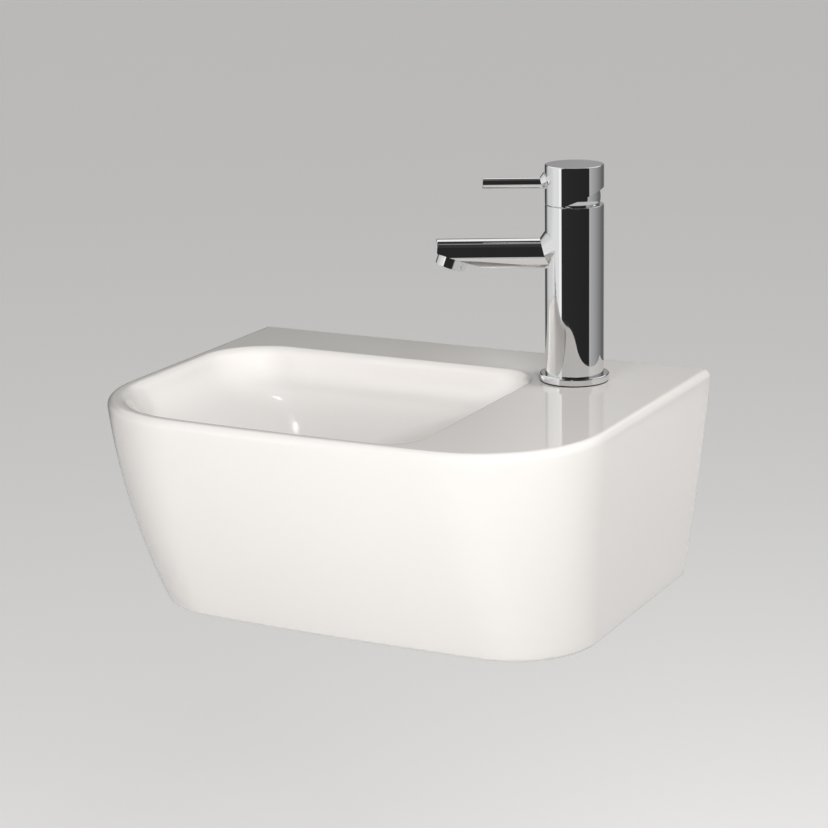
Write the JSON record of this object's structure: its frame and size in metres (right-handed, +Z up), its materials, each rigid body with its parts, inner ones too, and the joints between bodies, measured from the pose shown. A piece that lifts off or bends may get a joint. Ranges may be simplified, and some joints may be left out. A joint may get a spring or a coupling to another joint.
{
  "type": "washbasin",
  "caption": "Small wall-hung washbasin with a flat tap deck at its right, a rounded front, a round pin-lever mixer tap and a push plug waste",
  "frame": {"origin": "midway between the two wall fixings, on the plane of the wall", "axes": "+X to the right as seen from the room, +Y into the wall, +Z up"},
  "size_m": [0.379, 0.351, 0.319],
  "materials": {
    "ceramic": "white glaze, glossy",
    "chrome": "polished chrome plate",
    "zinc_steel": "zinc plated",
    "raw_brass": "turned, unplated",
    "black_rubber": "matt",
    "white_plastic": "moulded, satin",
    "grey_plastic": "moulded, satin",
    "disc_ceramic": "ground and lapped"
  },
  "bodies": {
    "basin": {"basin_body": "ceramic", "hanger_bolts": "zinc_steel", "bolt_sleeves": "white_plastic", "bolt_washers": "zinc_steel", "bolt_nuts": "zinc_steel", "waste_body": "chrome", "waste_gasket": "black_rubber", "waste_seal": "black_rubber", "waste_washer": "white_plastic", "waste_back_nut": "raw_brass", "latch_sleeve": "white_plastic", "latch_spring": "zinc_steel", "tap_body": "chrome", "inlet_block": "raw_brass", "base_ring": "chrome", "base_gasket": "black_rubber", "fixing_stud": "zinc_steel", "clamp_gasket": "black_rubber", "clamp_plate": "zinc_steel", "clamp_nut": "raw_brass", "aerator_housing": "chrome", "aerator_insert": "grey_plastic", "aerator_seal": "black_rubber", "cartridge_base": "grey_plastic", "port_seals": "black_rubber", "fixed_disc": "disc_ceramic", "cartridge_housing": "grey_plastic", "retaining_nut": "raw_brass", "shroud": "chrome"},
    "turret": {"spindle": "white_plastic", "spindle_seal": "black_rubber", "pivot_pin": "zinc_steel"},
    "valve": {"moving_disc": "disc_ceramic", "disc_carrier": "white_plastic"},
    "handle": {"stem": "raw_brass", "handle_cap": "chrome", "pin_lever": "chrome"},
    "plug": {"plug_cap": "chrome", "plug_seal": "black_rubber", "plug_stem": "white_plastic"}
  },
  "joints": [
    {"name": "handle_turn", "type": "hinge", "parent": "basin", "child": "turret", "pos_m": [0.11, -0.067, 0.209], "axis": [0, 0, 1], "range_deg": [-45, 45]},
    {"name": "handle_lift", "type": "hinge", "parent": "turret", "child": "handle", "pos_m": [0.11, -0.067, 0.209], "axis": [-0.4226, 0.9063, 0], "range_deg": [0, 25]},
    {"name": "valve_slide", "type": "slide", "parent": "turret", "child": "valve", "axis": [-0.9063, -0.4226, 0], "range_m": [0, 0.0045]},
    {"name": "plug_push", "type": "slide", "parent": "basin", "child": "plug", "axis": [0, 0, 1], "range_m": [-0.008, 0], "stiffness_N_per_m": 150, "springref_m": 0.01, "deforming": ["latch_spring"]}
  ],
  "couplings": [
    {"joint": "valve_slide", "follows": "handle_lift", "m_per_rad": 0.00969}
  ]
}
